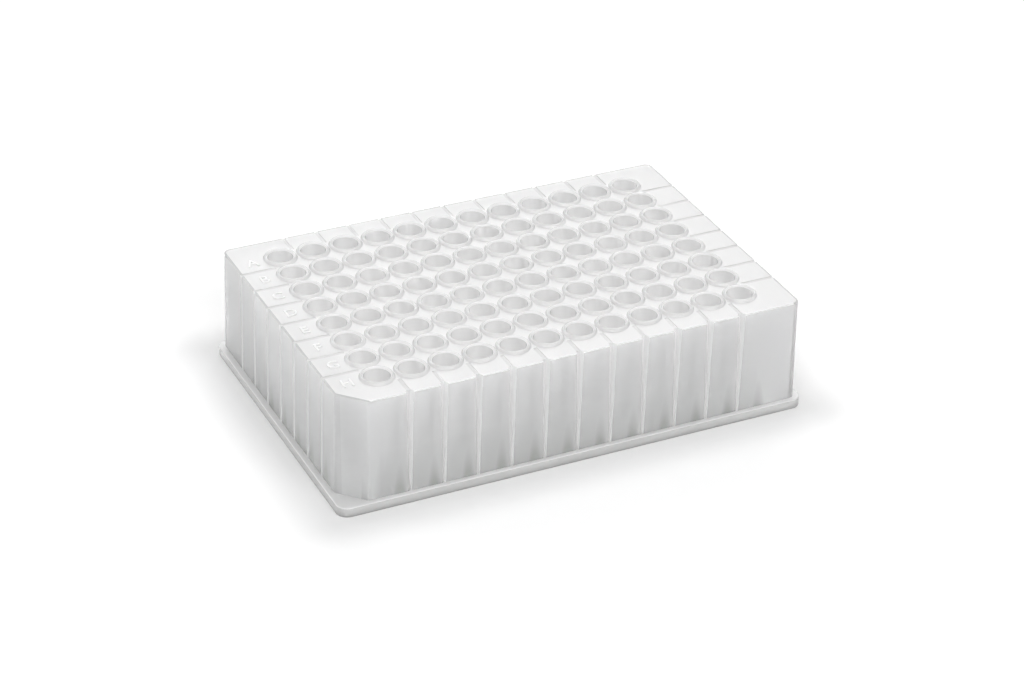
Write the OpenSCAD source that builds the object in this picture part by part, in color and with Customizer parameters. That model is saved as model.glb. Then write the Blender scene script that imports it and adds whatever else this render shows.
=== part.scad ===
// Round-well deep plate, moulded in one piece, with a row letter beside each row.
// The origin is at the bottom centre: +X runs from column 1 to column 12,
// +Y points to row A, and +Z is up. All sizes are in millimetres.

/* [Well grid] */
// Number of well columns
columns = 12; // [2:1:12]
// Number of well rows
rows = 8; // [2:1:8]
// Distance between neighbouring well axes
pitch = 9; // [9:0.1:12]

/* [Footprint] */
// From the end of the foot to the axis of the first column
edge_to_column = 14.38; // [13.5:0.01:24]
// From the side of the foot to the axis of the first row
edge_to_row = 11.24; // [9.5:0.01:20]
// Height of the foot flange
flange_height = 2.6; // [1.8:0.1:5]
// Plan radius of the foot's corners
flange_corner = 3.0; // [1.2:0.1:5]
// Rounding of the foot's upper edge
flange_round = 0.3; // [0.1:0.1:0.8]
// Width of the foot's ledge at the two ends of the plate
end_ledge = 1.6; // [0.8:0.05:2.4]
// Width of the foot's ledge along the two long sides
side_ledge = 1.25; // [0.8:0.05:2.4]

/* [Body] */
// Overall height, from the foot to the well rims
plate_height = 31.1; // [20:0.1:60]
// Thickness of the side walls at their top
skin = 1.2; // [0.8:0.1:1.6]
// Thickness of the deck
deck_thickness = 1.2; // [0.8:0.1:2]
// Draft of the side walls, in degrees
wall_draft = 0.9; // [0.2:0.1:1.2]
// Plan radius of the three plain corners
body_corner = 2.0; // [1:0.1:4]
// Rounding of the deck's outer edge
deck_round = 0.2; // [0.1:0.1:0.8]
// Length of the key corner's cut along X
key_x = 6.1; // [3:0.1:9]
// Length of the key corner's cut along Y
key_y = 6.3; // [3:0.1:9]

/* [Wells] */
// Width of a well at its mouth
mouth_width = 6.8; // [5:0.1:7]
// Width of a well where its round floor starts
floor_width = 6.2; // [4.4:0.1:6.6]
// Thickness of a well's wall
tube_wall = 0.8; // [0.5:0.05:0.9]
// Height of the rim above the deck
rim_height = 0.7; // [0.3:0.1:1.5]
// Bevel inside the mouth
mouth_bevel = 0.2; // [0.1:0.05:0.4]

/* [Channels and grooves] */
// Width of a front channel at the deck
channel_width = 1.6; // [1:0.1:2]
// Width of a front channel at its foot
channel_foot_width = 0.8; // [0.4:0.1:1]
// Depth of a front channel at the deck
channel_depth = 1.5; // [0.8:0.1:2]
// Depth of a front channel at its foot
channel_foot_depth = 0.4; // [0.2:0.1:0.6]
// Width of a channel in the back wall and the end walls
slot_width = 1.2; // [0.6:0.1:1.6]
// Depth of a channel in the back wall and the end walls
slot_depth = 0.35; // [0.2:0.05:0.6]
// Width of a deck groove
groove_width = 1.1; // [0.6:0.1:1.4]
// Depth of a deck groove at the outer edge
groove_edge_depth = 0.3; // [0.2:0.05:0.7]
// Depth of a deck groove at its inner end
groove_end_depth = 0.2; // [0.1:0.05:0.3]
// From the end of a deck groove to the nearest line of wells
groove_stop = 3.0; // [2.4:0.1:4]

/* [Row letters] */
// Height of a letter
letter_height = 3.2; // [2:0.1:4]
// Width of a letter
letter_width = 2.3; // [1.4:0.1:2.8]
// Width of a letter's strokes
stroke = 0.5; // [0.3:0.05:0.7]
// How far a letter stands above the deck
letter_raise = 0.2; // [0.1:0.05:0.4]
// From the middle of a letter to the first column's axis
letter_to_column = 7.7; // [7:0.1:9]

/* [Underside] */
// Depth of the recess that stacks on the plate below
stack_depth = 1.4; // [0.8:0.1:1.6]
// Gap between the recess's sides and the deck of the plate below
stack_clearance = 0.3; // [0.1:0.05:0.4]
// Gap between the wells' round tips and the rims of the plate below
tip_clearance = 0.1; // [0.1:0.05:2]

/* [Hidden] */
$fn = 64;

// Half sizes of the well grid, the foot and the body
grid_x = (columns - 1) * pitch / 2;
grid_y = (rows - 1) * pitch / 2;
foot_x = grid_x + edge_to_column;
foot_y = grid_y + edge_to_row;
deck_z = plate_height - rim_height;
body_height = deck_z - flange_height;
wall_lean = body_height * tan(wall_draft);
deck_x = foot_x - end_ledge - wall_lean;
deck_y = foot_y - side_ledge - wall_lean;

// The hollow under the deck, and the ribs in it that back the deep front channels
hollow_x = deck_x - skin;
hollow_y = deck_y - skin;
rib_depth = channel_depth;
rib_width = channel_width + 2 * skin;
hollow_top = deck_z - deck_thickness;

// A channel's [width, depth] at its upper and lower ends
front_top = [channel_width, channel_depth];
front_foot = [channel_foot_width, channel_foot_depth];
slot = [slot_width, slot_depth];

// Lowest point of a well, just clear of the rims of a plate that this one is stacked on
tip_z = stack_depth + rim_height + tip_clearance;

// The key corner: its cut's outward normal, its two corner points, and their radius
key_normal = -[key_y, key_x] / norm([key_x, key_y]);
front_normal = [0, -1];
side_normal = [-1, 0];
key_front = [-deck_x + key_x, -deck_y];
key_side = [-deck_x, -deck_y + key_y];
key_edge = 1.0;

// A corner point moved inwards by d from both of the lines that meet in it
function inset(corner, n1, n2, d) = corner - d * (n1 + n2) / (1 + n1 * n2);

column_axes = [for (i = [0 : columns - 1]) -grid_x + i * pitch];
row_axes = [for (i = [0 : rows - 1]) grid_y - i * pitch];
channel_xs = [for (i = [1 : columns - 1]) -grid_x + (i - 0.5) * pitch];
channel_ys = [for (i = [1 : rows - 1]) grid_y - (i - 0.5) * pitch];

// How far cutting shapes reach past what they cut, and the height of a hull's slices
past = 1;
slice = 0.01;
corner_facets = 32;

// A rounded plan is a list of [x, y, radius]. Growing each radius offsets the whole plan.
foot_plan = [for (sx = [-1, 1], sy = [-1, 1])
    [sx * (foot_x - flange_corner), sy * (foot_y - flange_corner), flange_corner]];
body_plan = [
    [deck_x - body_corner, deck_y - body_corner, body_corner],
    [deck_x - body_corner, -deck_y + body_corner, body_corner],
    [-deck_x + body_corner, deck_y - body_corner, body_corner],
    concat(inset(key_front, front_normal, key_normal, key_edge), key_edge),
    concat(inset(key_side, side_normal, key_normal, key_edge), key_edge)
];

// Slices of a rounded upper edge, each as [height, growth of the plan]
function rounded_edge(top, r, start = 0) =
    [for (a = [0 : 30 : 90]) [top - r * (1 - sin(a)) - slice, start - r * (1 - cos(a))]];

module lofted(plan, slices) {
    hull()
        for (s = slices, c = plan)
            translate([c[0], c[1], s[0]])
                cylinder(r = c[2] + s[1], h = slice, $fn = corner_facets);
}

// The foot flange, square at the bottom and rounded at its upper edge
module foot() {
    lofted(foot_plan, concat([[0, 0]], rounded_edge(flange_height, flange_round)));
}

// The drafted body, with its rounded deck edge
module body_block() {
    foot_slice = [[flange_height / 2, wall_lean]];
    lofted(body_plan, concat(foot_slice, rounded_edge(deck_z, deck_round)));
}

// The hollow under the deck, left solid behind each front channel
module hollow() {
    translate([0, 0, -past])
        linear_extrude(hollow_top + past)
            difference() {
                hollow_plan();
                for (x = channel_xs)
                    translate([x, -hollow_y])
                        square([rib_width, 2 * rib_depth], center = true);
            }
}

// Plan of the hollow, which follows the key corner at the same wall thickness
module hollow_plan() {
    polygon([
        inset(key_front, front_normal, key_normal, skin),
        [hollow_x, -hollow_y],
        [hollow_x, hollow_y],
        [-hollow_x, hollow_y],
        inset(key_side, side_normal, key_normal, skin)
    ]);
}

// The recess under the foot, as wide as the deck that it stacks on
module stack_recess() {
    span = [deck_x + stack_clearance, deck_y + stack_clearance];
    translate([-span[0], -span[1], -past])
        cube([2 * span[0], 2 * span[1], stack_depth + past]);
}

// One channel down a wall that faces -Y, at the distance wall from the middle.
// Its upper and lower ends are each given as [width, depth].
module channel(wall, top, foot) {
    foot_wall = wall + wall_lean;
    reach = max(top[0], foot[0]);
    intersection() {
        translate([0, -wall + top[1], 0])
            rotate([90, 0, 0])
                linear_extrude(top[1] + wall_lean + past)
                    polygon([
                        [-foot[0] / 2, flange_height],
                        [foot[0] / 2, flange_height],
                        [top[0] / 2, deck_z + slice],
                        [-top[0] / 2, deck_z + slice]
                    ]);
        translate([-reach, 0, 0])
            rotate([90, 0, 90])
                linear_extrude(2 * reach)
                    polygon([
                        [-foot_wall - past, flange_height],
                        [-foot_wall + foot[1], flange_height],
                        [-wall + top[1], deck_z + slice],
                        [-foot_wall - past, deck_z + slice]
                    ]);
    }
}

// One groove in the deck, sloping down to a wall that faces -Y
module groove(wall, wells) {
    translate([-groove_width / 2, 0, 0])
        rotate([90, 0, 90])
            linear_extrude(groove_width)
                polygon([
                    [-wall - past, deck_z - groove_edge_depth],
                    [-wells - groove_stop, deck_z - groove_end_depth],
                    [-wells - groove_stop, deck_z + past],
                    [-wall - past, deck_z + past]
                ]);
}

module wall_cuts(wall, wells, top, foot) {
    channel(wall, top, foot);
    groove(wall, wells);
}

// Half section of a round-bottomed well shape, to be turned about its axis
module well_section(low_r, high_r, bottom, top) {
    centre = bottom + low_r;
    intersection() {
        translate([0, centre])
            circle(r = low_r);
        translate([0, bottom])
            square([low_r, low_r]);
    }
    polygon([[0, centre], [low_r, centre], [high_r, top], [0, top]]);
}

// The outside of one well, from its round tip to its rim
module tube() {
    rotate_extrude()
        well_section(floor_width / 2 + tube_wall, mouth_width / 2 + tube_wall,
            tip_z, plate_height);
}

// The inside of one well, with a bevelled mouth
module well() {
    mouth_r = mouth_width / 2;
    rotate_extrude() {
        well_section(floor_width / 2, mouth_r, tip_z + tube_wall, plate_height);
        polygon([
            [0, plate_height - mouth_bevel],
            [mouth_r, plate_height - mouth_bevel],
            [mouth_r + mouth_bevel, plate_height],
            [mouth_r + mouth_bevel, plate_height + past],
            [0, plate_height + past]
        ]);
    }
}

// Strokes that the letters are drawn with, each from the letter's lower left corner
module bar(x, y, w, h) {
    translate([x, y])
        square([w, h]);
}

module slant(from, to) {
    run = to - from;
    translate(from)
        rotate(atan2(run[1], run[0]))
            translate([0, -stroke / 2])
                square([norm(run), stroke]);
}

module bow(x, y, r, from_x, w) {
    intersection() {
        translate([x, y])
            difference() {
                circle(r = r);
                circle(r = r - stroke);
            }
        bar(from_x, y - r, w, 2 * r);
    }
}

// A stem with the round bowl that B and D have
module bowl(y, r) {
    reach = letter_width - r;
    bow(reach, y, r, reach, r);
    bar(0, y - r, reach, stroke);
    bar(0, y + r - stroke, reach, stroke);
}

module letter(name) {
    w = letter_width;
    h = letter_height;
    s = stroke;
    middle = (h - s) / 2;
    if (name == "A") {
        slant([s / 2, 0], [w / 2, h - s / 2]);
        slant([w - s / 2, 0], [w / 2, h - s / 2]);
        bar(w / 4, h / 4, w / 2, s);
    } else if (name == "C" || name == "G") {
        bow(h / 2, h / 2, h / 2, 0, w);
        if (name == "G") {
            bar(w / 2, middle, w / 2, s);
            bar(w - s, s, s, middle);
        }
    } else {
        bar(0, 0, s, h);
    }
    if (name == "B") {
        bowl((h + s) / 4, (h + s) / 4);
        bowl(h - (h + s) / 4, (h + s) / 4);
    }
    if (name == "D")
        bowl(h / 2, h / 2);
    if (name == "E" || name == "F") {
        bar(0, h - s, w, s);
        bar(0, middle, 0.8 * w, s);
    }
    if (name == "E")
        bar(0, 0, w, s);
    if (name == "H") {
        bar(w - s, 0, s, h);
        bar(0, middle, w, s);
    }
}

module row_letters() {
    for (i = [0 : rows - 1])
        translate([
            -grid_x - letter_to_column - letter_width / 2,
            row_axes[i] - letter_height / 2,
            deck_z - slice
        ])
            linear_extrude(letter_raise + slice)
                letter("ABCDEFGH"[i]);
}

// The outer shell: foot, walls and deck, before the wells are set in it
module shell() {
    difference() {
        union() {
            foot();
            body_block();
        }
        hollow();
        stack_recess();
        for (x = channel_xs)
            translate([x, 0, 0])
                wall_cuts(deck_y, grid_y, front_top, front_foot);
        for (x = channel_xs)
            rotate(180)
                translate([x, 0, 0])
                    wall_cuts(deck_y, grid_y, slot, slot);
        for (y = channel_ys, turn = [90, 270])
            rotate(turn)
                translate([y, 0, 0])
                    wall_cuts(deck_x, grid_x, slot, slot);
    }
}

module at_wells() {
    for (x = column_axes, y = row_axes)
        translate([x, y, 0])
            children();
}

module well_plate() {
    color("whitesmoke")
        difference() {
            union() {
                shell();
                row_letters();
                at_wells()
                    tube();
            }
            at_wells()
                well();
        }
}

well_plate();
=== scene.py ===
# %% [markdown]
# # A deep well plate, moulded in one piece
#
# The plate is one shot of natural polypropylene: ninety-six round-bottomed
# tubes hang from a deck, and four thin walls run down from the deck's edge to
# a low foot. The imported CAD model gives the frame. It is loaded first, because
# every size and place below is the CAD's.
#
# The CAD mesh is loose triangles with sharp edges. A moulded part never has
# those, so the plate is modelled again here at the same sizes, with rounded
# rims and edges that catch the light, and it stands for the CAD node.

# %% Loading the frame
import math

import bmesh
import bpy
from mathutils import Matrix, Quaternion, Vector


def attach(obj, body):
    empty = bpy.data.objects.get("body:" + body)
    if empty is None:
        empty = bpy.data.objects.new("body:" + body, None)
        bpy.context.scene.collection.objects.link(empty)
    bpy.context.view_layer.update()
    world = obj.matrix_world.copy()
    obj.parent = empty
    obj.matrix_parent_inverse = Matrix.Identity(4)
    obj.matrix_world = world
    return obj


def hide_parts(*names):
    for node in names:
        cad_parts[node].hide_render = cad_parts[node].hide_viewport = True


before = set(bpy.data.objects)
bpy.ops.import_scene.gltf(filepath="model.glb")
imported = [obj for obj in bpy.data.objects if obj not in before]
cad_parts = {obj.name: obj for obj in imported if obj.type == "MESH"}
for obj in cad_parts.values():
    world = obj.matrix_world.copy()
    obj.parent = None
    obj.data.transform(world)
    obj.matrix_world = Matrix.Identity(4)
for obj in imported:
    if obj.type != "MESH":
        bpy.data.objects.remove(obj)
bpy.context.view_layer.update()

# %% [markdown]
# ## Sizes
#
# All sizes are in millimetres, as a mould maker would note them, and the piece
# is made in millimetres too. Small roundings are then ordinary numbers for
# Blender's tools. The last step of the making brings the mesh to metres.
#
# The well grid comes first, because everything else on such a plate is placed
# from it.

# %% The plate's sizes
COLUMNS, ROWS, PITCH = 12, 8, 9.0
EDGE_TO_COLUMN, EDGE_TO_ROW = 14.38, 11.24
GRID_X = (COLUMNS - 1) * PITCH / 2
GRID_Y = (ROWS - 1) * PITCH / 2

FOOT_X, FOOT_Y = GRID_X + EDGE_TO_COLUMN, GRID_Y + EDGE_TO_ROW
FOOT_HEIGHT, FOOT_CORNER, FOOT_ROUND, FOOT_UNDER_ROUND = 2.6, 3.0, 0.3, 0.15

HEIGHT, RIM_HEIGHT = 31.1, 0.7
DECK_Z = HEIGHT - RIM_HEIGHT
SKIN, DECK_THICKNESS = 1.2, 1.2
DRAFT = math.radians(0.9)
WALL_LEAN = (DECK_Z - FOOT_HEIGHT) * math.tan(DRAFT)
LEDGE_X, LEDGE_Y = 1.6, 1.25
DECK_X, DECK_Y = FOOT_X - LEDGE_X - WALL_LEAN, FOOT_Y - LEDGE_Y - WALL_LEAN
BODY_CORNER, DECK_ROUND = 2.0, 0.2

STACK_DEPTH, STACK_GAP, STACK_ROOM = 1.4, 0.3, 0.1
WELL_BASE = STACK_DEPTH + RIM_HEIGHT + STACK_ROOM
MM = 0.001

COLUMN_AXES = [-GRID_X + PITCH * i for i in range(COLUMNS)]
ROW_AXES = [GRID_Y - PITCH * i for i in range(ROWS)]
print("deck half sizes", round(DECK_X, 3), round(DECK_Y, 3), "at height", DECK_Z)

# %% [markdown]
# ## A few ways of working
#
# Each helper below does by script what a hand does in the viewport: open a
# piece in edit mode, choose some edges or faces by where they lie, round or
# move them, and close it again. Everything is deselected before each step,
# because an operator works on all that is selected.

# %% Helpers for shaping
NEAR = 0.01  # how close counts as the same place, in millimetres


def put_down():
    """Leaves edit mode with nothing selected."""
    if bpy.context.mode != "OBJECT":
        bpy.ops.object.mode_set(mode="OBJECT")
    bpy.ops.object.select_all(action="DESELECT")


def take(*pieces):
    """Selects these pieces alone, with the first one active."""
    put_down()
    for piece in pieces:
        piece.select_set(True)
    bpy.context.view_layer.objects.active = pieces[0]
    return pieces[0]


def choose(piece, kind, test):
    """Opens a piece in edit mode and selects the faces, edges or corners that pass the test."""
    take(piece)
    bpy.ops.object.mode_set(mode="EDIT")
    bpy.ops.mesh.select_mode(type=kind)
    bpy.ops.mesh.select_all(action="DESELECT")
    mesh = bmesh.from_edit_mesh(piece.data)
    parts = {"FACE": mesh.faces, "EDGE": mesh.edges, "VERT": mesh.verts}[kind]
    chosen = [part for part in parts if test(part)]
    for part in chosen:
        part.select_set(True)
    bmesh.update_edit_mesh(piece.data)
    return len(chosen)


def paint(piece, finish, test):
    """Gives the faces that pass the test a finish."""
    if finish.name not in piece.data.materials:
        piece.data.materials.append(finish)
    count = choose(piece, "FACE", test)
    piece.active_material_index = piece.data.materials.find(finish.name)
    bpy.ops.object.material_slot_assign()
    put_down()
    return count


def settle(piece):
    """Moves a piece's place, turn and size into its mesh."""
    take(piece)
    bpy.ops.object.transform_apply(location=True, rotation=True, scale=True)
    return piece


def block(low, high):
    """A cube brought to the box between two corners."""
    put_down()
    middle = [(a + b) / 2 for a, b in zip(low, high)]
    bpy.ops.mesh.primitive_cube_add(size=1, location=middle)
    piece = bpy.context.object
    piece.scale = [b - a for a, b in zip(low, high)]
    return settle(piece)


def joined(*pieces):
    """One piece made of several."""
    take(*pieces)
    bpy.ops.object.join()
    return bpy.context.object


def upright(edge):
    """True for an edge that runs up a wall."""
    a, b = (corner.co for corner in edge.verts)
    return abs(a.z - b.z) > 2 * (a.xy - b.xy).length


def flat_at(height):
    """A test for edges that lie at one height, on the outline of a flat top or bottom."""
    def test(edge):
        level = all(abs(corner.co.z - height) < 1e-3 for corner in edge.verts)
        return level and len(edge.link_faces) == 2 and edge.calc_face_angle(0) > 0.8
    return test


def round_off(piece, test, width, steps):
    """Rounds the edges that pass the test."""
    count = choose(piece, "EDGE", test)
    bpy.ops.mesh.bevel(offset=width, segments=steps, affect="EDGES")
    put_down()
    return count


def boolean(piece, tool, how):
    """Joins a tool to a piece or cuts it away, and removes the tool."""
    take(piece)
    cut = piece.modifiers.new("cut", "BOOLEAN")
    cut.operation, cut.object, cut.solver = how, tool, "MANIFOLD"
    cut.material_mode = "TRANSFER"
    bpy.ops.object.modifier_apply(modifier=cut.name)
    if piece.modifiers:
        raise RuntimeError("the boolean with " + tool.name + " could not be made")
    bpy.data.objects.remove(tool)
    return piece


def repeated(piece, places):
    """One piece made of copies, each put at (x, y, turn in degrees) with a mesh of its own."""
    copies = []
    for x, y, turn in places:
        take(piece)
        bpy.ops.object.duplicate()
        copy = bpy.context.object
        copy.location = (x, y, 0)
        copy.rotation_euler = (0, 0, math.radians(turn))
        copies.append(copy)
    bpy.data.objects.remove(piece)
    return settle(joined(*copies))


def open_edges(piece):
    """How many edges of a mesh don't have just two faces."""
    mesh = bmesh.new()
    mesh.from_mesh(piece.data)
    count = sum(1 for edge in mesh.edges if len(edge.link_faces) != 2)
    mesh.free()
    return count


print("ready to shape; the Blender used is", bpy.app.version_string)

# %% [markdown]
# ## The plastic
#
# Undyed polypropylene is milky: light goes in, scatters for a few millimetres
# and comes out softly, and a thin wall lets shapes behind it show dimly. A
# glass shader would be too clear and a plain white one too dead. So the shader
# mixes deep scattering under the surface with some rough transmission. A thin
# coat gives the gloss that a polished mould leaves on the skin. Slow noise
# gives the faint clouds of a moulded face, and a very fine bump its satin.
#
# Lamp light passes through many thin walls of a real plate. A path tracer
# gives up after a few, so for shadow rays alone the plastic is made to pass
# most of the light.
#
# The same plastic looks different where its thickness differs, because light
# passes it differently, and this is painted into eight finishes of it. The deck
# and the tubes are milky. The plain walls are greyer towards the foot, as
# painted shade, and the flange shows the dark recess behind it. The channels
# and the flange's ledge are painted lighter, as painted light. Rims, grooves
# and the deck's outline are painted a little darker, as painted shade, the lips
# of the wells are matt, and thin raised letters are the whitest. The deck's
# front edge wears the letters' white as a painted highlight. A tool that cuts
# or joins a shape wears the finish, and the cut faces take it over.

# %% Steps of arithmetic in a node tree
def spread(tree, value, low, high, to_low, to_high):
    """Brings a value from one span to another."""
    span = tree.nodes.new("ShaderNodeMapRange")
    for socket, number in zip(span.inputs[1:5], (low, high, to_low, to_high)):
        socket.default_value = number
    tree.links.new(value, span.inputs["Value"])
    return span.outputs["Result"]


def clouds(tree, place, size, detail, low, high):
    """Soft noise of this size in metres, brought between two values."""
    noise = tree.nodes.new("ShaderNodeTexNoise")
    noise.inputs["Scale"].default_value = 1 / size
    noise.inputs["Detail"].default_value = detail
    tree.links.new(place, noise.inputs["Vector"])
    return spread(tree, noise.outputs["Fac"], 0.3, 0.7, low, high)


def math_step(tree, operation, *values):
    """One step of arithmetic on sockets and numbers."""
    step = tree.nodes.new("ShaderNodeMath")
    step.operation = operation
    for socket, value in zip(step.inputs, values):
        if isinstance(value, (int, float)):
            socket.default_value = value
        else:
            tree.links.new(value, socket)
    return step.outputs["Value"]


print("arithmetic for shaders: spread, clouds and math_step")

# %% [markdown]
# The outer walls need one thing more: painted shade and painted light. Low
# down, painted shade stands for the dark spaces between the tubes' round ends
# that show dimly through the skin, one to each pitch. Painted light makes the
# skin brighter where no tube stands close behind it, and painted shade darkens
# the left wall towards the key. All places in a shader are in metres.

# %% Painted shade and light on the walls
# Painted shade between the tubes' round ends: its shift, width and height in metres, then where it starts
# and where it is darkest
GAP_SHIFT, GAP_WIDTH, GAP_HEIGHT = -0.0027, 0.0018, 0.009
GAP_EDGE, GAP_CORE = 1.3, 0.3
FRONT_FACE, SIDE_FACE = (DECK_Y - 1) * MM, (DECK_X - 1) * MM
# Each bay without a tube gets painted light, given by where it starts and where it is brightest
RIGHT_BAY_PAINTED_LIGHT, LEFT_BAY_PAINTED_LIGHT, KEY_BAY_PAINTED_LIGHT, KEY_PAINTED_LIGHT_GAIN = (0.05, 0.056), (0.008, 0.024), (-0.094, -0.0965), 0.5
# The left wall's painted shade grows from the first place to the second, in metres, up to this depth
LEFT_PAINTED_SHADE_SPAN, LEFT_PAINTED_SHADE_DEPTH = (0, -0.035), 0.3


def paint_gap_shade_and_bay_light(tree, place, rise, painted_gaps):
    """Paints shade on a wall between the tubes and along the left wall, and paints light at the bays."""
    split = tree.nodes.new("ShaderNodeSeparateXYZ")
    tree.links.new(place, split.inputs["Vector"])
    x, y, z = split.outputs
    for along, across, wall in ((x, y, FRONT_FACE), (y, x, SIDE_FACE)):
        apart = math_step(tree, "PINGPONG", math_step(tree, "SUBTRACT", along, GAP_SHIFT), PITCH * MM / 2)
        wide = math_step(tree, "POWER", math_step(tree, "DIVIDE", apart, GAP_WIDTH), 2.0)
        hill = math_step(tree, "ADD", wide, math_step(tree, "DIVIDE", z, GAP_HEIGHT))
        near = math_step(tree, "GREATER_THAN", math_step(tree, "ABSOLUTE", across), wall)
        gap_painted_shade = math_step(tree, "MULTIPLY", spread(tree, hill, GAP_EDGE, GAP_CORE, 0, painted_gaps), near)
        rise = math_step(tree, "SUBTRACT", rise, gap_painted_shade)
    # Painted light at the bays, and painted shade on the left wall towards the key
    left = math_step(tree, "LESS_THAN", x, -SIDE_FACE)
    for bay_painted_light in (spread(tree, x, *RIGHT_BAY_PAINTED_LIGHT, 0, 1),
                math_step(tree, "MULTIPLY", spread(tree, y, *LEFT_BAY_PAINTED_LIGHT, 0, 1), left),
                spread(tree, math_step(tree, "ADD", x, y), *KEY_BAY_PAINTED_LIGHT, 0, KEY_PAINTED_LIGHT_GAIN)):
        rise = math_step(tree, "ADD", rise, bay_painted_light)
    rise = math_step(tree, "MINIMUM", rise, 1.0)
    left_painted_shade = math_step(tree, "MULTIPLY", spread(tree, y, *LEFT_PAINTED_SHADE_SPAN, 0, LEFT_PAINTED_SHADE_DEPTH), left)
    return math_step(tree, "SUBTRACT", rise, left_painted_shade)


print("gaps show up to", GAP_HEIGHT * GAP_EDGE / MM, "mm above the foot's underside")

# %% Natural polypropylene
# Painted shade: a finish darkens from this height, in metres, down to the foot, where this share of its deck
# colour is left
PAINTED_SHADE_HEIGHT, FOOT_PAINTED_SHADE_MIX = 0.016, 0.45
REFRACTION, SCATTER, COAT_ROUGH = 1.49, 0.004, 0.12


def polypropylene(name, foot, top, clear, rough, through, coat=0.5, painted_gaps=0):
    """A finish of the plastic: its colour at the deck and its painted shade at the foot, how clear and rough
    it is, what lamps pass.
    """
    plastic = bpy.data.materials.new(name)
    plastic.use_nodes = True
    tree = plastic.node_tree
    shader = tree.nodes["Principled BSDF"]
    shader.inputs["IOR"].default_value = REFRACTION
    shader.inputs["Subsurface Weight"].default_value = 1.0
    shader.inputs["Subsurface Radius"].default_value = (1.0, 1.0, 1.0)
    shader.inputs["Subsurface Scale"].default_value = SCATTER
    shader.inputs["Transmission Weight"].default_value = clear
    shader.inputs["Coat Weight"].default_value = coat
    shader.inputs["Coat Roughness"].default_value = COAT_ROUGH
    shader.inputs["Base Color"].default_value = (*top, 1)
    place = tree.nodes.new("ShaderNodeTexCoord").outputs["Object"]
    # Where a finish has a darker foot colour, painted shade fades its colour to it towards the foot
    if foot != top:
        split = tree.nodes.new("ShaderNodeSeparateXYZ")
        tree.links.new(place, split.inputs["Vector"])
        painted_shade_fade = spread(tree, split.outputs["Z"], FOOT_HEIGHT * MM, PAINTED_SHADE_HEIGHT, FOOT_PAINTED_SHADE_MIX, 1)
        rise = math_step(tree, "ADD", painted_shade_fade, clouds(tree, place, 0.03, 2, -0.1, 0.1))
        if painted_gaps:
            rise = paint_gap_shade_and_bay_light(tree, place, rise, painted_gaps)
        painted_shade_mix = tree.nodes.new("ShaderNodeMix")
        painted_shade_mix.data_type = "RGBA"
        painted_shade_mix.inputs["A"].default_value = (*foot, 1)
        painted_shade_mix.inputs["B"].default_value = (*top, 1)
        tree.links.new(rise, painted_shade_mix.inputs["Factor"])
        tree.links.new(painted_shade_mix.outputs["Result"], shader.inputs["Base Color"])
    tree.links.new(clouds(tree, place, 0.008, 3, rough - 0.03, rough + 0.03), shader.inputs["Roughness"])

    satin = tree.nodes.new("ShaderNodeBump")
    satin.inputs["Strength"].default_value = 0.15
    satin.inputs["Distance"].default_value = 0.00002
    tree.links.new(clouds(tree, place, 0.0007, 2, 0, 1), satin.inputs["Height"])
    tree.links.new(satin.outputs["Normal"], shader.inputs["Normal"])

    lamps = tree.nodes.new("ShaderNodeLightPath")
    passed = tree.nodes.new("ShaderNodeBsdfTransparent")
    passed.inputs["Color"].default_value = (through, through, through, 1)
    mix = tree.nodes.new("ShaderNodeMixShader")
    tree.links.new(lamps.outputs["Is Shadow Ray"], mix.inputs["Fac"])
    tree.links.new(shader.outputs["BSDF"], mix.inputs[1])
    tree.links.new(passed.outputs["BSDF"], mix.inputs[2])
    tree.links.new(mix.outputs["Shader"], tree.nodes["Material Output"].inputs["Surface"])
    return plastic


# The milky finish has a little painted shade towards the foot
milky = polypropylene("milky_polypropylene", (0.97, 0.965, 0.96), (0.99, 0.985, 0.985), 0.3, 0.15, 0.9)
# The wall finish has painted shade towards the foot and between the tubes, and painted light at the bays
walls = polypropylene("wall_painted_shade_and_light_polypropylene", (0.6, 0.61, 0.59), (0.97, 0.975, 0.985), 0.6, 0.1, 0.3, painted_gaps=0.6)
# Painted light: the channels and the ledge are lighter than the walls
painted_light_seams = polypropylene("seam_painted_light_polypropylene", (0.96, 0.96, 0.96), (0.99, 0.99, 0.99), 0.2, 0.15, 0.3)
edges = polypropylene("flange_polypropylene", (0.95, 0.955, 0.94), (0.95, 0.955, 0.94), 0.45, 0.1, 0.2)
# Painted shade: rims and grooves are a little greyer than the deck
rims_painted_shade = polypropylene("rim_painted_shade_polypropylene", (0.91, 0.9, 0.9), (0.91, 0.9, 0.9), 0.35, 0.15, 0.9, coat=0.2)
lips = polypropylene("lip_polypropylene", (0.93, 0.93, 0.93), (0.93, 0.93, 0.93), 0.0, 0.5, 0.9, coat=0.0)
# Painted shade: the dark grey line along the deck's edge
painted_shade_outline = polypropylene("edge_painted_shade_polypropylene", (0.5, 0.5, 0.5), (0.5, 0.5, 0.5), 0.2, 0.15, 0.9)
# White for the letters, also used along the deck's front edge as a painted highlight
white = polypropylene("letter_and_highlight_polypropylene", (1, 1, 1), (1, 1, 1), 0.0, 0.15, 0.9)
print("eight finishes of one plastic are ready")

# %% [markdown]
# ## The walls and the deck
#
# On the real plate the four walls lean in a little towards the deck, so that
# it leaves the mould, and one corner is cut off as a key for robots and hands.
# A loft or a sculpted cage would also give this, but a block with a spread
# bottom face is simpler, and a bisect takes the key corner off in one cut.
# The cut leans by the same draft as the walls. An inset makes a thin ring
# along the deck's edge, painted grey as painted shade: the thin grey line that
# the deck shows there, where the skin below it starts. Along the front, the
# rounded edge is painted white instead, as a painted highlight.

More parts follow.
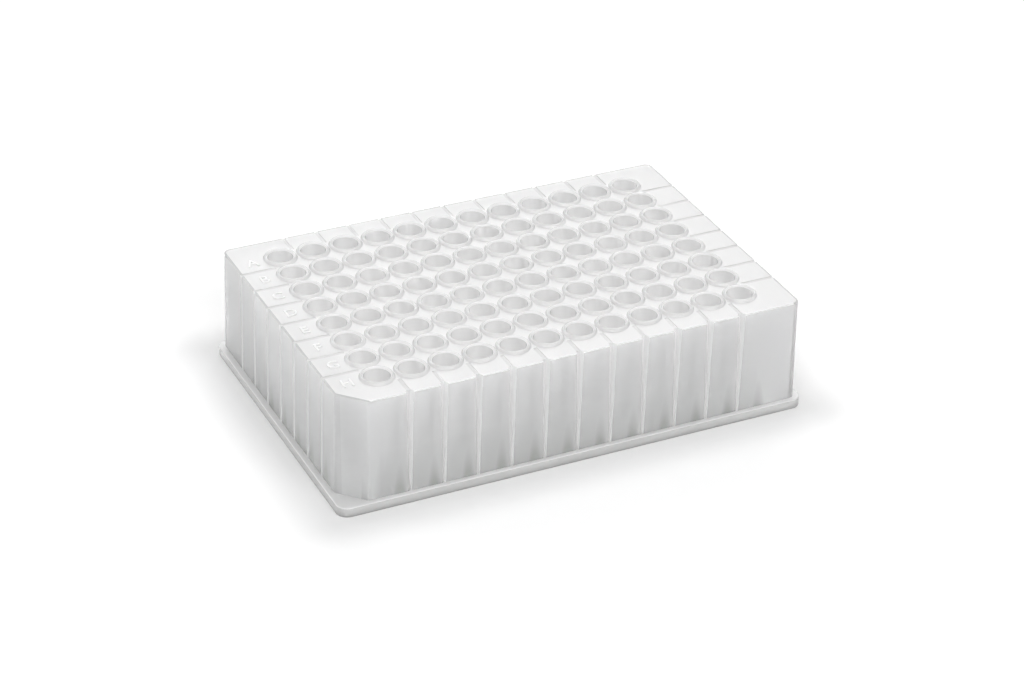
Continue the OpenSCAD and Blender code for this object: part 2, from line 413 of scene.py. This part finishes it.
# %% The body block
START_Z = FOOT_HEIGHT / 2
plate = block((-DECK_X, -DECK_Y, START_Z), (DECK_X, DECK_Y, DECK_Z))
plate.name = "deep_well_plate"
plate.data.materials.append(walls)
choose(plate, "FACE", lambda face: face.normal.z < -0.9)
widening = ((DECK_X + WALL_LEAN) / DECK_X, (DECK_Y + WALL_LEAN) / DECK_Y, 1)
bpy.ops.transform.resize(value=widening, center_override=(0, 0, START_Z))
lean = math.atan2(WALL_LEAN, DECK_Z - START_Z)
print("walls lean by", round(math.degrees(lean), 2), "degrees")

# %% The key corner
KEY_X, KEY_Y, KEY_ROUND = 6.1, 6.3, 1.0
NEAR_KEY = 0.6
key_out = Vector((-KEY_Y, -KEY_X)).normalized()
key_point = Vector((-DECK_X + KEY_X, -DECK_Y))
bpy.ops.mesh.select_all(action="SELECT")
bpy.ops.mesh.bisect(
    plane_co=(*key_point, DECK_Z),
    plane_no=(key_out.x * math.cos(lean), key_out.y * math.cos(lean), math.sin(lean)),
    use_fill=True, clear_outer=True)
put_down()


def past_key(spot):
    """How far a spot lies past the line along which the key corner is cut off."""
    return (spot.xy - key_point).dot(key_out)


def near_key(edge):
    """True for an edge beside the key corner's cut."""
    return past_key((edge.verts[0].co + edge.verts[1].co) / 2) > -NEAR_KEY


# The key's edges turn through about 45 degrees, so their rounding starts nearer to them
key_width = KEY_ROUND * math.tan(math.radians(45 / 2))
plain = round_off(plate, lambda e: upright(e) and not near_key(e), BODY_CORNER, 6)
key_edges = round_off(plate, lambda e: upright(e) and near_key(e) and e.calc_face_angle(0) > 0.5,
                      key_width, 4)
deck_edge = round_off(plate, flat_at(DECK_Z), DECK_ROUND, 4)
print("rounded", plain, "plain corners,", key_edges, "key edges and a deck edge of", deck_edge)

# %% The deck's outline, in painted shade and a painted highlight
EDGE_WIDTH = 0.3
RING = DECK_ROUND + EDGE_WIDTH


def at_edge(face):
    """True for a face of the deck's rounded edge or of the ring inside it."""
    return face.normal.z > 0.1 and face.calc_area() < 2 * DECK_X * RING


def at_front(face):
    """True for a face that belongs to the deck's front edge."""
    spot = face.calc_center_median()
    return spot.y < RING - DECK_Y and abs(spot.x) < DECK_X - BODY_CORNER and past_key(spot) < -RING


def over_front(face):
    """True for a face of the rounded front edge, outside the ring."""
    return at_edge(face) and at_front(face) and face.calc_center_median().y < EDGE_WIDTH - DECK_Y


paint(plate, milky, lambda face: face.normal.z > 0.3)
choose(plate, "FACE", lambda face: face.normal.z > 0.999)
bpy.ops.mesh.inset(thickness=EDGE_WIDTH, depth=0)
# Round the deck, except at the front, the ring and the rounding are painted grey, as painted shade
ringed = paint(plate, painted_shade_outline, lambda face: at_edge(face) and not at_front(face))
# The front edge's rounding is painted white, as a painted highlight
lit = paint(plate, white, over_front)
# The right end lets more light in, because no tube stands close behind it
paint(plate, milky, lambda face: face.normal.x > 0.9)
print("the outline has", ringed, "grey faces and", lit, "white ones at the front")

# %% [markdown]
# ## The foot
#
# A low flange runs round the bottom. Its outline is the standard footprint of
# such plates, so its outer size is kept exactly, and only its edges are
# rounded: three millimetres at the corners, and a soft upper edge. It is made
# as a block of its own and united with the walls, as one would do with clay.

# %% The foot flange
foot = block((-FOOT_X, -FOOT_Y, 0), (FOOT_X, FOOT_Y, FOOT_HEIGHT))
round_off(foot, upright, FOOT_CORNER, 8)
round_off(foot, flat_at(FOOT_HEIGHT), FOOT_ROUND, 4)
round_off(foot, flat_at(0), FOOT_UNDER_ROUND, 2)
foot.data.materials.append(edges)
# The ledge on top of the foot is painted lighter, as painted light
paint(foot, painted_light_seams, lambda face: face.normal.z > 0.3)
boolean(plate, foot, "UNION")
print("walls and foot:", len(plate.data.polygons), "faces, open edges", open_edges(plate))

# %% [markdown]
# ## The hollow under the deck
#
# Seen from below the plate is an empty box, with the tubes hanging in it. The
# hollow follows the key corner at the same wall thickness. Behind each channel
# in the front wall the wall would be too thin, so a rib stands there. The
# hollow is a second block, cut away from the first.

# %% Hollowing out
HOLLOW_X, HOLLOW_Y = DECK_X - SKIN, DECK_Y - SKIN
HOLLOW_TOP = DECK_Z - DECK_THICKNESS
HOLLOW_CORNER, HOLLOW_ROUND = 0.5, 0.4
PAST = 1.0  # how far a cutting tool stands out of what it cuts
hollow = block((-HOLLOW_X, -HOLLOW_Y, -PAST), (HOLLOW_X, HOLLOW_Y, HOLLOW_TOP))
choose(hollow, "FACE", lambda face: True)
inner_key = key_point - SKIN * key_out
bpy.ops.mesh.bisect(plane_co=(*inner_key, 0), plane_no=(*key_out, 0),
                    use_fill=True, clear_outer=True)
round_off(hollow, upright, HOLLOW_CORNER, 2)
round_off(hollow, flat_at(HOLLOW_TOP), HOLLOW_ROUND, 2)
hollow.data.materials.append(walls)
paint(hollow, milky, lambda face: face.normal.x > 0.9)
boolean(plate, hollow, "DIFFERENCE")
print("hollowed:", len(plate.data.polygons), "faces, open edges", open_edges(plate))

# %% [markdown]
# ## Channels, ribs and grooves
#
# Half-way between neighbouring wells a narrow channel runs down each wall. In
# the front it is widest and deepest at the deck and fades towards the foot, in
# the other walls it is an even, shallow slot. A shallow groove in the deck
# leads into it. They hold a film or a mat, and they stiffen the walls. Each
# shape is modelled once, for a wall that faces the front, and copied to its
# places round the plate.

# %% Where they stand
FRONT_PLACES = [(x + PITCH / 2, 0, 0) for x in COLUMN_AXES[:-1]]
BACK_PLACES = [(x + PITCH / 2, 0, 180) for x in COLUMN_AXES[:-1]]
END_PLACES = [(0, y - PITCH / 2, turn) for y in ROW_AXES[:-1] for turn in (90, 270)]
print(len(FRONT_PLACES), "places at the front,", len(BACK_PLACES), "at the back and",
      len(END_PLACES), "at the ends")

# %% Ribs
RIB_DEPTH, RIB_WIDTH, RIB_ROUND = 1.5, 4.0, 0.3
SINK = 0.5
rib_face = -DECK_Y + SKIN + RIB_DEPTH
rib = block((-RIB_WIDTH / 2, -DECK_Y + SINK, STACK_DEPTH - SINK),
            (RIB_WIDTH / 2, rib_face, HOLLOW_TOP + SINK))
round_off(rib, lambda e: upright(e) and e.verts[0].co.y > rib_face - NEAR, RIB_ROUND, 2)
rib.data.materials.append(milky)
boolean(plate, repeated(rib, FRONT_PLACES), "UNION")
print("with ribs:", len(plate.data.polygons), "faces, open edges", open_edges(plate))

# %% The recess that stacks on the plate below
recess = block((-DECK_X - STACK_GAP, -DECK_Y - STACK_GAP, -PAST),
               (DECK_X + STACK_GAP, DECK_Y + STACK_GAP, STACK_DEPTH))
recess.data.materials.append(edges)
boolean(plate, recess, "DIFFERENCE")
print("with the recess:", len(plate.data.polygons), "faces, open edges", open_edges(plate))

# %% Channels
# Each end of a channel is given by its width and its depth
FRONT_TOP, FRONT_FOOT, SLOT = (1.9, 1.5), (0.8, 0.4), (1.2, 0.15)
FLARE, CHANNEL_ROUND = 0.55, 0.2


def channel(wall, top, foot):
    """A tapering wedge with flared sides that cuts one channel, for a wall that faces the front."""
    back = -wall + top[1]
    front = -wall - WALL_LEAN - PAST
    floor_width = top[0] * (1 - FLARE)
    front_width = floor_width + (top[0] - floor_width) * (back - front) / top[1]
    piece = block((-front_width / 2, front, FOOT_HEIGHT), (front_width / 2, back, DECK_Z + NEAR))
    choose(piece, "FACE", lambda face: face.normal.y > 0.9)
    bpy.ops.transform.resize(value=(floor_width / front_width, 1, 1), center_override=(0, back, 0))
    choose(piece, "FACE", lambda face: face.normal.z < -0.9)
    narrowing = (foot[0] / top[0], foot[1] / top[1], 1)
    bpy.ops.transform.resize(value=narrowing, center_override=(0, -wall, 0))
    bpy.ops.transform.translate(value=(0, -WALL_LEAN, 0))

    def floor_edge(edge):
        """True for one of the two long edges of the channel's floor."""
        a, b = (corner.co for corner in edge.verts)
        return min(a.y, b.y) > -wall - WALL_LEAN and abs(a.z - b.z) > 1

    round_off(piece, floor_edge, CHANNEL_ROUND, 3)
    # The channel is painted lighter than the wall, as painted light
    piece.data.materials.append(painted_light_seams)
    return piece


channels = joined(repeated(channel(DECK_Y, FRONT_TOP, FRONT_FOOT), FRONT_PLACES),
                  repeated(channel(DECK_Y, SLOT, SLOT), BACK_PLACES),
                  repeated(channel(DECK_X, SLOT, SLOT), END_PLACES))
boolean(plate, channels, "DIFFERENCE")
print("with channels:", len(plate.data.polygons), "faces, open edges", open_edges(plate))

# %% Grooves in the deck
GROOVE_WIDTH, GROOVE_STOP, GROOVE_ROUND = 1.1, 3.0, 0.25
GROOVE_EDGE_DEPTH, GROOVE_END_DEPTH = 0.2, 0.18


def groove(wall, wells):
    """A bar that cuts one groove, deeper at the wall than at its inner end."""
    end = -wells - GROOVE_STOP
    piece = block((-GROOVE_WIDTH / 2, -wall - PAST, DECK_Z - GROOVE_EDGE_DEPTH),
                  (GROOVE_WIDTH / 2, end, DECK_Z + PAST))
    choose(piece, "EDGE", lambda e: all(v.co.z < DECK_Z and v.co.y > end - NEAR for v in e.verts))
    bpy.ops.transform.translate(value=(0, 0, GROOVE_EDGE_DEPTH - GROOVE_END_DEPTH))

    def floor_edge(edge):
        """True for one of the two long edges of the groove's floor."""
        a, b = (corner.co for corner in edge.verts)
        return max(a.z, b.z) < DECK_Z and abs(a.x - b.x) < NEAR

    round_off(piece, floor_edge, GROOVE_ROUND, 3)
    # The groove wears the rims' painted shade
    piece.data.materials.append(rims_painted_shade)
    return piece


grooves = joined(repeated(groove(DECK_Y, GRID_Y), FRONT_PLACES + BACK_PLACES),
                 repeated(groove(DECK_X, GRID_X), END_PLACES))
boolean(plate, grooves, "DIFFERENCE")
print("with grooves:", len(plate.data.polygons), "faces, open edges", open_edges(plate))

# %% [markdown]
# ## The tubes
#
# Each well is a round tube with a ball-shaped end, a slight taper and a raised
# rim. A hand would draw half of its section and spin it about the axis, and so
# does this cell. The section has a small fillet where the rim rises from the
# deck, and a rounded top, because that ring of light round every mouth is what
# the eye sees first. Thirty-two steps make it round enough for its size.

# %% Spinning a section
STEPS, BALL_RINGS = 32, 6


def turned(section):
    """A closed round piece, spun from (radius, height) points that start and end on its axis."""
    put_down()
    bpy.ops.mesh.primitive_plane_add(size=1)
    piece = bpy.context.object
    choose(piece, "VERT", lambda corner: True)
    bpy.ops.mesh.merge(type="CENTER")
    first = section[0]
    bpy.ops.transform.translate(value=(first[0], 0, first[1]))
    for here, there in zip(section, section[1:]):
        step = (there[0] - here[0], 0, there[1] - here[1])
        bpy.ops.mesh.extrude_vertices_move(TRANSFORM_OT_translate={"value": step})
    bpy.ops.mesh.select_all(action="SELECT")
    bpy.ops.mesh.spin(steps=STEPS, angle=math.tau, center=(0, 0, 0), axis=(0, 0, 1))
    bpy.ops.mesh.select_all(action="SELECT")
    bpy.ops.mesh.remove_doubles(threshold=0.001)
    bpy.ops.mesh.normals_make_consistent(inside=False)
    put_down()
    return piece


def ball_end(radius, centre):
    """Points of a quarter circle, from the lowest point of a ball to its widest."""
    turns = [math.pi / 2 * i / BALL_RINGS for i in range(BALL_RINGS + 1)]
    return [(radius * math.sin(t), centre - radius * math.cos(t)) for t in turns]


print("a turned piece has", STEPS, "steps round its axis")

# %% Tubes with their rims
AT_WELLS = [(x, y, 0) for x in COLUMN_AXES for y in ROW_AXES]
TUBE_FOOT_RADIUS, TUBE_TOP_RADIUS = 3.9, 4.17
WELL_FOOT_RADIUS, FLOOR_THICKNESS = 3.1, 0.8
BALL_CENTRE = WELL_BASE + WELL_FOOT_RADIUS + FLOOR_THICKNESS
UNDER_DECK = 0.4
# The rim from the deck up: each point's radius and its height over the deck
RIM_FILLET = [(4.48, -0.02), (4.4, 0.05), (4.3, 0.2), (4.2, 0.42)]
# The rim's rounded top: each point's radius and how far it lies under the top
RIM_CREST = [(4.08, 0.1), (3.92, 0), (0, 0)]

tube_section = (ball_end(TUBE_FOOT_RADIUS, BALL_CENTRE)
                + [(TUBE_TOP_RADIUS, HOLLOW_TOP + UNDER_DECK)]
                + [(radius, DECK_Z + rise) for radius, rise in RIM_FILLET]
                + [(radius, HEIGHT - drop) for radius, drop in RIM_CREST])
tube = turned(tube_section)
tube.data.materials.append(milky)
# The rims over the deck are painted greyer than it, as painted shade
paint(tube, rims_painted_shade, lambda face: face.calc_center_median().z > DECK_Z)
tubes = repeated(tube, AT_WELLS)
boolean(plate, tubes, "UNION")
print("with tubes:", len(plate.data.polygons), "faces, open edges", open_edges(plate))

# %% [markdown]
# ## The row letters
#
# A letter stands beside each row, raised by a fifth of a millimetre. They are
# plain grid marks, set in Blender's own font, turned into a mesh, brought to
# their height, and united with the deck before the wells are bored.

# %% Letters A to H
LETTER_X = -GRID_X - 7.7
LETTER_HEIGHT, LETTER_RAISE, LETTER_SINK, LETTER_BOLDER = 3.2, 0.2, 0.1, 0.015


def letter(name, y):
    """A raised letter whose foot is sunk a little into the deck."""
    put_down()
    bpy.ops.object.text_add()
    piece = bpy.context.object
    piece.data.body = name
    piece.data.extrude = 0.5
    piece.data.resolution_u = 4
    take(piece)
    bpy.ops.object.convert(target="MESH")
    piece = bpy.context.object
    choose(piece, "VERT", lambda corner: True)
    bpy.ops.mesh.remove_doubles(threshold=0.0001)
    bpy.ops.mesh.normals_make_consistent(inside=False)
    bpy.ops.transform.shrink_fatten(value=LETTER_BOLDER)
    put_down()
    corners = [corner.co for corner in piece.data.vertices]
    low = Vector(map(min, zip(*corners)))
    high = Vector(map(max, zip(*corners)))
    middle = (low + high) / 2
    grow = LETTER_HEIGHT / (high.y - low.y)
    thick = LETTER_RAISE + LETTER_SINK
    piece.scale = (grow, grow, thick)
    piece.location = (LETTER_X - grow * middle.x, y - grow * middle.y,
                      DECK_Z + LETTER_RAISE - thick / 2)
    return settle(piece)


letters = joined(*[letter("ABCDEFGH"[i], y) for i, y in enumerate(ROW_AXES)])
print("letters: open edges", open_edges(letters), "size", [round(v, 2) for v in letters.dimensions])
letters.data.materials.clear()
letters.data.materials.append(white)
boolean(plate, letters, "UNION")
print("with letters:", len(plate.data.polygons), "faces, open edges", open_edges(plate))

# %% [markdown]
# ## Boring the wells
#
# The inside of a well is a second spun section: a round floor, the same
# taper, and a lip that opens in a short cone. Ninety-six of them are cut away
# together.

# %% The wells
WELL_TOP_RADIUS, LIP_RADIUS, LIP_DEPTH = 3.34, 3.67, 0.45
OVER_RADIUS, OVER = 3.7, 0.5
well_section = ball_end(WELL_FOOT_RADIUS, BALL_CENTRE) + [
    (WELL_TOP_RADIUS, HEIGHT - LIP_DEPTH), (LIP_RADIUS, HEIGHT),
    (OVER_RADIUS, HEIGHT + OVER), (0, HEIGHT + OVER)]
well = turned(well_section)
well.data.materials.append(milky)
paint(well, lips, lambda face: HEIGHT - LIP_DEPTH < face.calc_center_median().z < HEIGHT)
wells = repeated(well, AT_WELLS)
boolean(plate, wells, "DIFFERENCE")
print("bored:", len(plate.data.polygons), "faces, open edges", open_edges(plate))

# %% [markdown]
# ## Finishing the mesh
#
# The curved faces are shaded smooth and the true corners stay crisp. The edges
# where the flat deck and the flat walls end are marked sharp as well, so that
# no rounding bends their shading. Then the piece is brought from millimetres
# to metres.

# %% Smoothing and scaling
SMOOTH_UP_TO = math.radians(31)
take(plate)
bpy.ops.object.shade_smooth_by_angle(angle=SMOOTH_UP_TO)
ways_out = [key_out] + [Vector(way) for way in ((1, 0), (0, 1), (-1, 0), (0, -1))]
FLATS = [Vector((0, 0, 1))] + [Vector((*(math.cos(lean) * way), math.sin(lean))) for way in ways_out]


def ends_a_flat(edge):
    """True for an edge between a flat face of the plate and another face."""
    if len(edge.link_faces) != 2 or edge.calc_face_angle(0) < 0.01:
        return False
    flat = [any(face.normal.dot(way) > 0.99999 for way in FLATS) for face in edge.link_faces]
    return flat[0] != flat[1]


sharp = choose(plate, "EDGE", ends_a_flat)
bpy.ops.mesh.mark_sharp()
put_down()
print("edges of flat faces:", sharp)
plate.scale = (MM, MM, MM)
settle(plate)
triangles = sum(len(face.vertices) - 2 for face in plate.data.polygons)
print("the plate has", triangles, "triangles and", open_edges(plate), "open edges")
for slot, finish in enumerate(plate.data.materials):
    worn = sum(face.material_index == slot for face in plate.data.polygons)
    print(finish.name, "is on", worn, "faces")

# %% Taking the CAD node's place
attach(plate, "root")
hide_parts("well_plate")
print(plate.name, "stands for the CAD node well_plate")

# %% [markdown]
# ## The studio
#
# A pale floor runs out of sight under a soft, plain light. To the camera, in
# reflections and through the plastic the floor and the world are lifted to
# white. The lift is no lamp: scattered light on the plate stays as it was. The
# paper's glow is weaker close to the foot: the foot keeps its own contact
# shadow, and the weaker glow round it adds painted shadow.

# %% Lifting a shader to white
def lifted(tree, plain, bright):
    """Shows the bright shader to the camera, and in reflections and through the plastic."""
    rays = tree.nodes.new("ShaderNodeLightPath")
    total = rays.outputs["Is Camera Ray"]
    for kind in ("Is Glossy Ray", "Is Transmission Ray"):
        total = math_step(tree, "MAXIMUM", total, rays.outputs[kind])
    mix = tree.nodes.new("ShaderNodeMixShader")
    tree.links.new(total, mix.inputs["Fac"])
    tree.links.new(plain, mix.inputs[1])
    tree.links.new(bright, mix.inputs[2])
    return mix.outputs["Shader"]


def off_the_foot(tree):
    """How far a spot on the floor lies outside the plate's foot, in metres."""
    value = tree.nodes.new("ShaderNodeTexCoord").outputs["Object"]
    for operation, other in (("ABSOLUTE", (0, 0, 0)), ("SUBTRACT", (FOOT_X * MM, FOOT_Y * MM, 0)),
                             ("MAXIMUM", (0, 0, 0)), ("LENGTH", (0, 0, 0))):
        step = tree.nodes.new("ShaderNodeVectorMath")
        step.operation = operation
        tree.links.new(value, step.inputs[0])
        step.inputs[1].default_value = other
        value = step.outputs["Value" if operation == "LENGTH" else "Vector"]
    return value


print("the lift to white is ready")

# %% Floor
PAPER_SHADE, GLOW_REACH, GLOW = 0.9, 0.016, (0.05, 0.3)
put_down()
bpy.ops.mesh.primitive_plane_add(size=8)
floor = bpy.context.object
floor.name = "floor"
paper = bpy.data.materials.new("studio_paper")
paper.use_nodes = True
tree = paper.node_tree
sheet = tree.nodes["Principled BSDF"]
sheet.inputs["Base Color"].default_value = (PAPER_SHADE, PAPER_SHADE, PAPER_SHADE, 1)
sheet.inputs["Roughness"].default_value = 0.9
sheet.inputs["Specular IOR Level"].default_value = 0.1
glow = tree.nodes.new("ShaderNodeEmission")
# Painted shadow: the glow is weaker next to the foot, so the floor is darker round the plate
strength = spread(tree, off_the_foot(tree), 0.0, GLOW_REACH, *GLOW)
strength.node.interpolation_type = "SMOOTHSTEP"
tree.links.new(strength, glow.inputs["Strength"])
both = tree.nodes.new("ShaderNodeAddShader")
tree.links.new(sheet.outputs["BSDF"], both.inputs[0])
tree.links.new(glow.outputs["Emission"], both.inputs[1])
tree.links.new(lifted(tree, sheet.outputs["BSDF"], both.outputs["Shader"]),
               tree.nodes["Material Output"].inputs["Surface"])
floor.data.materials.append(paper)
print("the floor's glow rises over", GLOW_REACH / MM, "mm from the foot")

# %% World
WORLD_SOFT, WORLD_WHITE = 0.4, 1.0
world = bpy.data.worlds.new("studio")
bpy.context.scene.world = world
world.use_nodes = True
tree = world.node_tree
soft = tree.nodes["Background"]
soft.inputs["Color"].default_value = (1, 1, 1, 1)
soft.inputs["Strength"].default_value = WORLD_SOFT
bright = tree.nodes.new("ShaderNodeBackground")
bright.inputs["Color"].default_value = (1, 1, 1, 1)
bright.inputs["Strength"].default_value = WORLD_WHITE
tree.links.new(lifted(tree, soft.outputs["Background"], bright.outputs["Background"]),
               tree.nodes["World Output"].inputs["Surface"])
print("the world lights at", WORLD_SOFT, "and shows at", WORLD_WHITE)

# %% [markdown]
# ## The lamps
#
# The main lamp is large and stands behind and above the plate, because a milky
# part looks best with the light coming through it. A small one lights the left
# end, and a broad one at the front keeps the long wall from going grey.


# %% Lamps
def lamp(name, place, width, height, power):
    """A soft lamp that looks at the plate."""
    put_down()
    bpy.ops.object.light_add(type="AREA", location=place)
    light = bpy.context.object
    light.name = name
    light.data.shape = "RECTANGLE"
    light.data.size, light.data.size_y = width, height
    light.data.energy = power
    light.rotation_euler = (-Vector(place)).to_track_quat("-Z", "Y").to_euler()
    print(name, "gives", power, "W over", width, "x", height, "m")


lamp("main_lamp", (0.45, 0.95, 0.68), 1.0, 1.0, 4.1)
lamp("left_lamp", (-0.45, 0.5, 0.3), 0.3, 0.3, 0.7)
lamp("front_lamp", (-0.2, -0.9, 0.8), 1.6, 0.4, 8.2)

# %% [markdown]
# ## The camera
#
# A longish lens looks down on the plate at about thirty-one degrees, with the
# key corner to the left, so that the front, the left end and all the wells
# show at once.

# %% Camera
CAMERA_PLACE, AIM_AT = (-0.27515, -0.56641, 0.38856), (-0.01343, -0.03065, 0.0311)
LENS, FILM_WIDTH, ROLL = 100.39, 36, math.radians(1.346)
put_down()
bpy.ops.object.camera_add(location=CAMERA_PLACE)
camera = bpy.context.object
camera.data.lens = LENS
camera.data.sensor_width = FILM_WIDTH
aim = Vector(AIM_AT) - camera.location
look = aim.to_track_quat("-Z", "Y")
camera.rotation_euler = (look @ Quaternion((0, 0, 1), ROLL)).to_euler()
bpy.context.scene.camera = camera
bpy.context.scene.view_settings.view_transform = "Standard"
print("the camera looks down at", round(math.degrees(math.atan2(-aim.z, aim.xy.length)), 1), "degrees")
